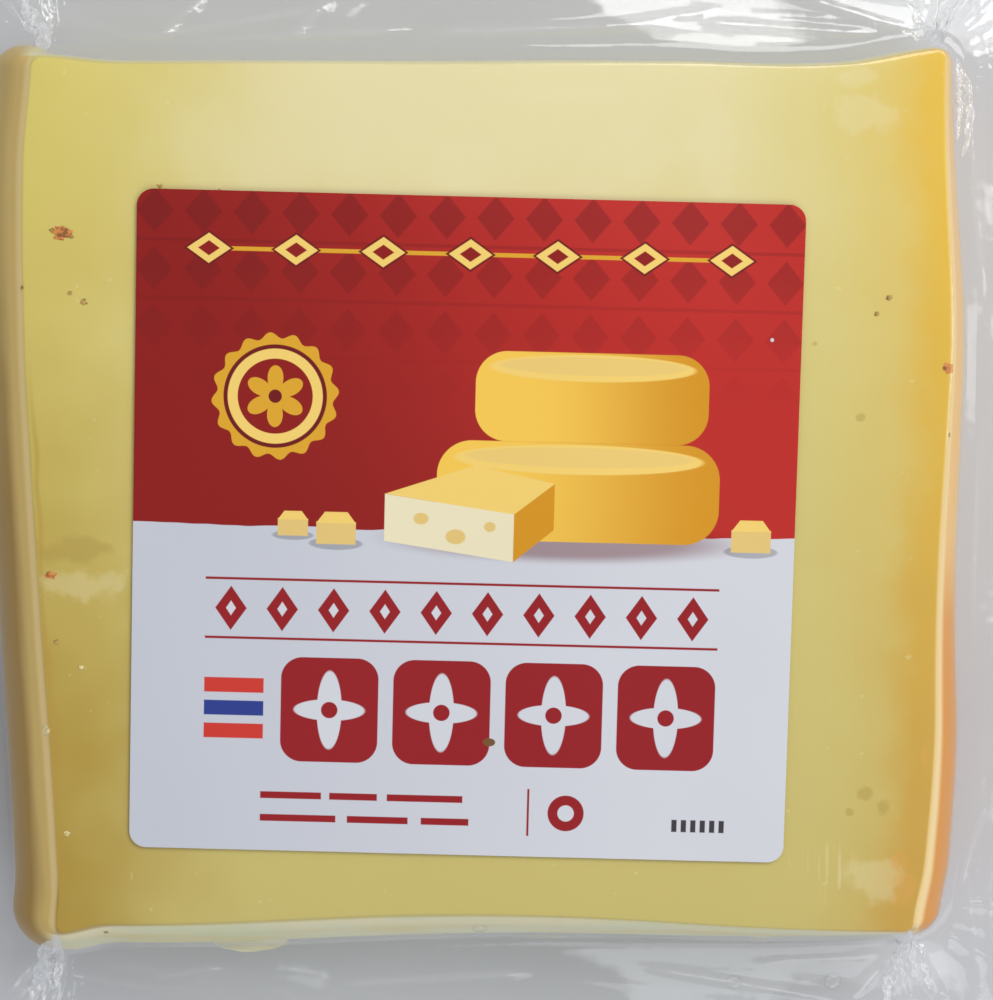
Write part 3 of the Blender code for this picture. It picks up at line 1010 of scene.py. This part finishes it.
def label_print(finish, place, u, v):
    """The colour of the print, with painted shade darkening its white towards the left."""
    sheet = Print(finish, u, v)
    ramp, blend = finish.ramp, finish.blend
    box, ellipse, polygon, inside = sheet.box, sheet.ellipse, sheet.polygon, sheet.inside
    border = (finish.noise(place, 90.0, 2.0) - 0.5) * 1.6 + BORDER_HEIGHT
    # Tone on tone lozenges that fade downwards on the red field
    cell_u = abs((u / 5.8).math("FRACT") - 0.5) * 2
    cell_v = abs(((v + 0.6) / 6.9).math("FRACT") - 0.5) * 2
    lozenges = finish.fall(cell_u + cell_v, 0.72, 0.82)
    row_line = ramp(cell_v, 0.93, 0.95)
    fade = ramp(v, 12.0, 38.0)
    red = blend(ramp(v * 0.55 + u, -22.0, 44.0), RED_DEEP, RED)
    red = blend(lozenges * fade * 0.5, red, RED_DARK)
    red = blend(row_line * fade * 0.35, red, RED_DARK)
    # The white field, darker towards the left as painted shade
    white = blend(ramp(u, -38.0, 30.0), WHITE_SHADED, WHITE)
    paint = blend(inside(border - v), white, red)

    def put(share, tone):
        nonlocal paint
        paint = blend(share, paint, tone)

    # A gold band of lozenges along the top
    put(box(0.0, 33.0, 31.0, 0.25), GOLD)
    band = sheet.repeated(0.0, 10.4, 7)
    put(band.lozenge(0.0, 33.0, 3.0, 2.1), RED_DARK)
    put(band.lozenge(0.0, 33.0, 2.6, 1.8), GOLD_LIGHT)
    put(band.lozenge(0.0, 33.0, 1.3, 0.9), RED_DEEP)
    # Two plain cheese wheels, one on the other, with their shadow
    put(finish.fall(finish.distance(sheet.plane, (12.0, -1.2), (25.0, 3.0)), 0.5, 1.0) * 0.6, RED_DARK)
    for wheel_u, wheel_v, half_u, half_v in ((13.6, 4.8, 17.0, 6.0), (15.0, 16.2, 14.0, 5.4)):
        body = blend(ramp(u, wheel_u + half_u, wheel_u - half_u * 0.6), *WHEEL)
        put(box(wheel_u, wheel_v, half_u, half_v, half_v * 0.7), body)
        put(ellipse(wheel_u, wheel_v + half_v * 0.66, half_u * 0.88, half_v * 0.3), GOLD_LIGHT)
        put(ellipse(wheel_u, wheel_v + half_v * 0.70, half_u * 0.80, half_v * 0.2) * 0.5, CREAM_WARM)
    # A cream wedge in front of them, and diced bits
    put(polygon((-9.6, 4.1), (-9.6, -1.6), (6.0, -3.8), (6.0, 2.0)), CREAM)
    put(polygon((6.0, 2.0), (6.0, -3.8), (10.8, 0.2), (10.8, 5.8)), WHEEL[0])
    put(polygon((-9.6, 4.1), (6.0, 2.0), (10.8, 5.8), (1.2, 7.8)), GOLD_LIGHT)
    for hole in ((-5.2, 1.2, 0.9, 0.7), (-1.0, -0.9, 1.2, 0.9), (3.1, 0.4, 0.7, 0.6)):
        put(ellipse(*hole), CREAM_WARM)
    for bit_u, bit_v, size in ((-15.4, -0.8, 1.7), (-20.6, -0.2, 1.3), (34.6, -0.6, 1.7)):
        put(ellipse(bit_u, bit_v - size * 0.75, size * 1.9, size * 0.45) * 0.4, INK_DARK)
        put(box(bit_u, bit_v, size * 1.4, size * 0.8), CREAM_WARM)
        put(sheet.trapezoid(bit_u, bit_v + size * 1.1, size * 1.1, size * 0.4, 0.75), GOLD_LIGHT)
    # A gold rosette
    from_u, from_v = u + 23.0, v - 15.5
    around = from_v.math("ARCTAN2", from_u)
    radius = (from_u**2 + from_v**2).math("SQRT")
    put(inside(radius - 7.3 - (around * 16).math("SINE") * 0.35), GOLD)
    for ring, tone in ((6.2, RED_DARK), (5.7, GOLD_LIGHT), (4.5, RED_DEEP)):
        put(inside(radius - ring), tone)
    put(inside(radius - 1.7 - abs((around * 3).math("SINE")) * 2.0), GOLD)
    put(inside(radius - 0.8), RED_DARK)
    # A band of small lozenges between two rules under the border
    for rule_v in (-6.6, -13.8):
        put(box(0.0, rule_v, 31.0, 0.15), INK_RED)
    small = sheet.repeated(0.0, 6.2, 10)
    put(small.lozenge(0.0, -10.2, 1.9, 2.7), INK_RED)
    put(small.lozenge(0.0, -10.2, 0.6, 0.9), WHITE)
    # Four wide red fields with leaf shapes in each, and three stripes beside them
    wide = sheet.repeated(4.6, 13.6, 4)
    put(wide.box(0.0, -22.4, 5.9, 6.4, 2.6), INK_RED)
    put(wide.ellipse(0.0, -22.4, 1.5, 4.8), WHITE)
    put(wide.ellipse(0.0, -22.4, 4.3, 1.3), WHITE)
    put(wide.ellipse(0.0, -22.4, 1.0, 1.0), INK_RED)
    for stripe_v, tone in ((-19.6, STRIPE_RED), (-22.4, INK_BLUE), (-25.2, STRIPE_RED)):
        put(box(-27.4, stripe_v, 3.6, 0.9), tone)
    # Two lines of short bars with a ring after them
    for bar_v, starts in ((-33.0, (-24.0, -15.6, -8.6)), (-35.8, (-24.0, -13.4, -4.4))):
        for k, start in enumerate(starts):
            half = BAR_HALVES[(k + int(-bar_v)) % 3]
            put(box(start + half, bar_v, half, 0.42), INK_RED)
    put(box(8.6, -34.4, 0.13, 2.9), INK_RED)
    put(ellipse(13.2, -34.4, 2.2, 2.2), INK_RED)
    put(ellipse(13.2, -34.4, 1.0, 1.0), WHITE)
    put(sheet.repeated(29.3, 1.15, 6).box(0.0, -35.6, 0.32, 0.75), INK_DARK)
    put(ellipse(*on_label(FLECK_ON_LABEL), 0.75, 0.5), colour(120, 84, 48))
    put(ellipse(*on_label(DOT_ON_LABEL), 0.22, 0.22), WHITE)
    return paint


def label_finish():
    """Satin printed paper."""
    finish = Finish("printed_label")
    place = finish.place()
    u, v, _ = finish.split(finish.moved(place, tuple(LABEL_CENTRE), LABEL_TURN, 0.001))
    print_colour = label_print(finish, place, u, v)
    normal = finish.bump(finish.noise(place, 45.0, 0.0) * 3.0, 0.0004)
    return finish.output(
        finish.surface(Base_Color=print_colour, Roughness=0.42, Normal=normal, Specular_IOR_Level=0.25)
    )


def floor_finish():
    finish = Finish("pale_floor")
    cloud = finish.noise(finish.place(), 30.0, 2.0)
    grey = finish.blend(cloud, colour(200, 202, 206), colour(194, 196, 200))
    return finish.output(finish.surface(Base_Color=grey, Roughness=0.7))


# Pieces


def make_film():
    """Both webs of film as one closed skin."""
    webs = [with_ear(upper_web(place), place) + lower_web(place) for place in stations()]
    film = wrapped("clear_film", webs, "crease", "haze")
    return settle(film, film_finish(), "film", "pack")


SLAB_INSET = 0.00024
SLAB_EDGE = 0.00045
WHEY_GAP = 0.00040
SLAB_PRESS = 0.00006
UNEVEN_GRAIN = 70


def slab_profile(place):
    """The slab's surface from the middle of its upper face over its edge and side to the middle below."""
    normal, stand_out = place["normal"], place["bulge"]
    edge = place["edge"] - normal * SLAB_INSET
    gap = WHEY_GAP * max(0.0, -normal.y) ** 4
    arc = edge_arc(place, SLAB_INSET, SLAB_EDGE)
    start, top = arc[-1]
    profile = []
    for share in (*spread(0.0, FLAT_SHARE, 13), *spread(0.9, 0.985, 5)):
        profile.append((SLAB_CENTRE.lerp(edge, share), HEIGHT - SLAB_INSET - upper_face_fall(share)))
    profile += arc
    for z in spread(top, BOTTOM_EDGE_ROUND, 24)[1:]:
        spot = start.lerp(edge + normal * stand_out, wall_share(z, top))
        profile.append((spot - normal * gap * ease((top - z) / 0.005), z))
    for turn in turns(18.0, 90.0, 5):
        spot = edge + normal * (stand_out * FOOT_SHARE - gap - BOTTOM_EDGE_ROUND * (1 - math.cos(turn)))
        profile.append((spot, mix(BOTTOM_EDGE_ROUND, SLAB_INSET, math.sin(turn))))
    profile += [(SLAB_CENTRE.lerp(edge, share), SLAB_INSET) for share in spread(0.93, 0.0, 7)]
    return profile


def from_edges(spot):
    """How far a spot lies inside the lines of the upper face's west, east, south and north edges, in mm."""
    away = spot - SLAB_CENTRE
    u, v = [max(-1.0, min(1.0, t)) for t in (away.x / HALF_WIDTH, away.y / HALF_DEPTH)]
    west, east, south, north = half_sizes(u, v)
    return [1000 * inside for inside in (away.x + west, east - away.x, away.y + south, north - away.y)]


def make_slab():
    """The cheese itself, pressed a little uneven."""
    middle = Vector((*SLAB_CENTRE, HEIGHT / 2))
    webs = []
    for place in stations()[::2]:
        web = []
        for spot, z in slab_profile(place):
            point = Vector((*spot, z))
            inwards = (middle - point).normalized()
            point += inwards * SLAB_PRESS * (1 + noise.noise(point * UNEVEN_GRAIN))
            web.append((point, *from_edges(spot)))
        webs.append(web)
    slab = wrapped("cheese_slab", webs, *FROM_EDGES)
    return settle(slab, cheese_finish(), "cheese")


LABEL_CELLS = 96
LABEL_EDGE_CELLS = 6


def on_label_grid(t):
    """Places the lines of an even grid from -1 to 1 across the label, closer together at its two ends."""
    line, half = abs(t) * LABEL_CELLS / 2, LABEL_SIDE / 2
    inner = LABEL_CELLS / 2 - LABEL_EDGE_CELLS
    if line <= inner:
        return math.copysign(line / inner * (half - LABEL_CORNER), t)
    return math.copysign(half - LABEL_CORNER + (line - inner) / LABEL_EDGE_CELLS * LABEL_CORNER, t)


def make_label():
    """The printed sheet: round corners, the thickness of paper, and a slight swell over the slab."""
    bpy.ops.mesh.primitive_grid_add(x_subdivisions=LABEL_CELLS, y_subdivisions=LABEL_CELLS, size=2)
    label = named("label_sheet")
    inner = LABEL_SIDE / 2 - LABEL_CORNER
    turn = Euler((0, 0, LABEL_TURN)).to_matrix()
    for vertex in label.data.vertices:
        point = Vector([on_label_grid(t) for t in vertex.co.xy])
        past = Vector([max(0.0, abs(t) - inner) for t in point])
        if min(past) > 0:
            past *= max(past) / past.length
            point = Vector([math.copysign(inner + past[k], point[k]) for k in (0, 1)])
        flat = Vector((*point, 0))
        rise = LABEL_SWELL * (1 + noise.noise(flat * UNEVEN_GRAIN))
        vertex.co = turn @ flat + Vector((*LABEL_CENTRE.xy, HEIGHT + LABEL_GAP + LABEL_PAPER + rise))
    thickness = label.modifiers.new("paper", "SOLIDIFY")
    thickness.thickness, thickness.offset = LABEL_PAPER, -1
    bpy.ops.object.modifier_apply(modifier=thickness.name)
    return settle(label, label_finish(), "label_print", "label", sharp=40.0)


def make_drop(name, middle, half, height, finish):
    """A flattened drop between slab and film."""
    base = RIM_ROOT_Z - DROP_DEPTH
    bpy.ops.mesh.primitive_uv_sphere_add(segments=40, ring_count=20, radius=1)
    drop = named(name)
    for vertex in drop.data.vertices:
        lump = 1 + 0.18 * noise.noise(vertex.co * 1.3 + Vector((*middle, 0)) * 400)
        rise = height * (0.7 if vertex.co.z > 0 else 0.1)
        vertex.co = Vector((vertex.co.x * half.x, vertex.co.y * half.y, vertex.co.z * rise)) * lump
        vertex.co += Vector((*middle, base))
    return settle(drop, finish, "whey")


# Gathered folds that stand on the film: pixels of the photograph along each, and half width in metres
GATHERS = (
    (((24, -2), (33, 22), (46, 50)), 0.00110),
    (((50, -2), (52, 20), (48, 48)), 0.00060),
    (((908, 2), (922, 22), (934, 40), (944, 50)), 0.00085),
    (((900, 30), (920, 38), (938, 46)), 0.00050),
    (((957, 58), (966, 84), (970, 116), (963, 158)), 0.00070),
    (((957, 66), (960, 96), (957, 140)), 0.00045),
    (((56, 934), (48, 956), (40, 980), (30, 1001)), 0.00125),
    (((60, 938), (60, 962), (54, 990)), 0.00070),
    (((910, 930), (900, 952), (890, 978), (884, 1001)), 0.00090),
    (((914, 936), (922, 962), (930, 990)), 0.00055),
)
GATHER_LIFT = 0.0001


def make_gather(name, film, pixels, half_width):
    """A crumpled fold of film: a flat tapered roll that follows the film under it."""
    bpy.ops.mesh.primitive_uv_sphere_add(segments=20, ring_count=64, radius=1)
    gather = named(name)
    spots = [on_piece(film, *pixel)[0] for pixel in pixels]
    for attribute in ("crease", "haze"):
        gather.data.attributes.new(attribute, "FLOAT", "POINT")
    creases, hazes = [gather.data.attributes[attribute].data for attribute in ("crease", "haze")]
    for vertex in gather.data.vertices:
        t = math.acos(max(-1.0, min(1.0, vertex.co.z))) / math.pi
        leg = min(int(t * (len(spots) - 1)), len(spots) - 2)
        start, end = spots[leg], spots[leg + 1]
        middle = start.lerp(end, t * (len(spots) - 1) - leg)
        sideways = (end - start).cross(UP).normalized()
        around = math.atan2(vertex.co.y, vertex.co.x)
        taper = math.sin(math.pi * t) ** 0.5
        pleat = ridges(3 * math.cos(around), t * 9, half_width * 9000)
        wander = 0.6 * half_width * noise.noise(Vector((t * 5, 3.1, half_width * 9000)))
        across = half_width * taper * math.cos(around) * mix(0.55, 1.0, pleat) + wander
        rise = half_width * taper * (0.25 * math.sin(around) + 0.35 * pleat * max(0.0, math.sin(around)))
        vertex.co = middle + sideways * across + UP * (rise + GATHER_LIFT)
        creases[vertex.index].value = 0.5 + 0.5 * pleat
        hazes[vertex.index].value = 0.06 + 0.30 * pleat**2
    return settle(gather, film.data.materials[0], "film")


# Blisters of air under the film: pixel of the photograph and radius in metres
BUBBLES = ((734, 983, 0.00095), (833, 982, 0.00110), (480, 930, 0.00090))
BUBBLE_FLATNESS = 0.45
BUBBLE_DEPTH = 0.0002


def make_bubble(name, film, x, y, radius, finish):
    """A small blister of air just under the film."""
    point, normal = on_piece(film, x, y)
    turn = UP.rotation_difference(normal)
    bpy.ops.mesh.primitive_uv_sphere_add(segments=28, ring_count=14, radius=radius)
    bubble = named(name)
    for vertex in bubble.data.vertices:
        vertex.co.z *= BUBBLE_FLATNESS
        vertex.co = turn @ vertex.co + point - normal * BUBBLE_DEPTH
    return settle(bubble, finish, "whey")


# Crumbs and flecks: pixel of the photograph, half sizes in millimetres, and kind
SPECKS = (
    (62, 233, 1.35, 0.95, "rust"),
    (52, 230, 0.40, 0.30, "olive"),
    (72, 237, 0.35, 0.25, "olive"),
    (84, 302, 0.45, 0.40, "olive"),
    (70, 293, 0.30, 0.30, "olive"),
    (22, 288, 0.35, 0.30, "olive"),
    (50, 575, 0.85, 0.45, "rust"),
    (57, 642, 0.40, 0.40, "olive"),
    (81, 667, 0.35, 0.30, "cream"),
    (47, 730, 0.60, 0.80, "cream"),
    (67, 833, 0.40, 0.35, "cream"),
    (889, 298, 0.40, 0.35, "olive"),
    (877, 314, 0.35, 0.30, "olive"),
    (948, 369, 0.65, 0.75, "rust"),
    (949, 435, 0.25, 0.30, "olive"),
    (160, 186, 0.40, 0.25, "olive"),
    (218, 189, 0.40, 0.25, "cream"),
    (106, 932, 0.35, 0.40, "olive"),
)
SPECK_RISE = 0.00015


def make_specks(slab):
    """Crumbs caught between slab and film: rough lumps pressed flat."""
    finishes = {
        "rust": speck_finish("browned_curd", colour(140, 80, 20), colour(222, 138, 50)),
        "olive": speck_finish("olive_fleck", colour(146, 114, 42), colour(190, 154, 70)),
        "cream": speck_finish("pale_crumb", colour(220, 196, 120), colour(240, 226, 170)),
    }
    for number, (x, y, half_x, half_y, kind) in enumerate(SPECKS, 1):
        point, normal = on_piece(slab, x, y)
        turn = UP.rotation_difference(normal)
        bpy.ops.mesh.primitive_ico_sphere_add(subdivisions=3, radius=1)
        speck = named(f"speck_{number}")
        for vertex in speck.data.vertices:
            lump = 0.8 + 0.7 * noise.noise(vertex.co * 1.9 + Vector((number, number, number)))
            flat = vertex.co * Vector((half_x / 1000, half_y / 1000, SPECK_RISE))
            vertex.co = turn @ (flat * lump) + point
        settle(speck, finishes[kind], "cheese")


def make_whey(film):
    whey_tones = (colour(236, 230, 180), colour(246, 242, 212))
    # The blister's dark second tone is painted shade at its rim, where its surface turns away
    air_tones_with_painted_rim = (colour(255, 255, 255), colour(70, 76, 84))
    whey = whey_finish("whey", whey_tones, 0.55, 0.0, 2.0, (0.97, 0.97, 0.95))
    air = whey_finish("air_blister", air_tones_with_painted_rim, 0.04, 1.0, 3.0, (1.0, 1.0, 1.0))
    for number, (middle, half, height) in enumerate(DROPS, 1):
        make_drop(f"whey_drop_{number}", middle, half, height, whey)
    for number, (x, y, radius) in enumerate(BUBBLES, 1):
        make_bubble(f"air_bubble_{number}", film, x, y, radius, air)


# The studio: place, size, power in watts and tint of each softbox
SOFTBOXES = {
    "key_softbox": ((0.30, 0.42, 0.62), (0.50, 0.40), 3.3, (1.0, 0.99, 0.97)),
    "fill_softbox": ((0.45, -0.75, 0.70), (0.9, 0.6), 2.6, (0.96, 0.98, 1.0)),
    "east_strip": ((0.70, 0.0, 0.35), (0.06, 0.9), 0.5, (1.0, 1.0, 1.0)),
}
SKY = (0.94, 0.96, 1.0, 1.0)
SKY_STRENGTH = 0.5
FLOOR_SIZE = 6
FLOOR_GAP = 0.0001


def make_studio():
    bpy.ops.mesh.primitive_plane_add(size=FLOOR_SIZE, location=(0, 0, -FLOOR_GAP))
    floor = named("floor")
    floor.data.materials.append(floor_finish())
    floor.select_set(False)
    for name, (place, size, power, tint) in SOFTBOXES.items():
        bpy.ops.object.light_add(type="AREA", location=place)
        lamp = named(name)
        lamp.data.shape = "RECTANGLE"
        lamp.data.size, lamp.data.size_y = size
        lamp.data.energy = power
        lamp.data.color = tint
        lamp.rotation_euler = (-Vector(place)).to_track_quat("-Z", "Y").to_euler()
        lamp.select_set(False)
    world = bpy.data.worlds.new("studio")
    world.use_nodes = True
    background = world.node_tree.nodes["Background"]
    background.inputs["Color"].default_value = SKY
    background.inputs["Strength"].default_value = SKY_STRENGTH
    bpy.context.scene.world = world
    bpy.context.scene.view_settings.view_transform = "Standard"


def make_camera():
    data = bpy.data.cameras.new("camera")
    data.lens, data.sensor_width = VIEW_LENS, VIEW_SENSOR
    data.clip_start, data.clip_end = VIEW_CLIP
    camera = bpy.data.objects.new("camera", data)
    camera.location = VIEW_EYE
    camera.rotation_euler = (-VIEW_TILT, 0, 0)
    bpy.context.scene.collection.objects.link(camera)
    bpy.context.scene.camera = camera


make_camera()
cheese_slab = make_slab()
make_specks(cheese_slab)
clear_film = make_film()
film_pieces = [clear_film]
for count, (gather_pixels, gather_width) in enumerate(GATHERS, 1):
    film_pieces.append(make_gather(f"film_gather_{count}", clear_film, gather_pixels, gather_width))
for film_piece in film_pieces:
    film_piece.visible_shadow = film_piece.visible_diffuse = film_piece.visible_glossy = False
make_whey(clear_film)
make_label()
make_studio()
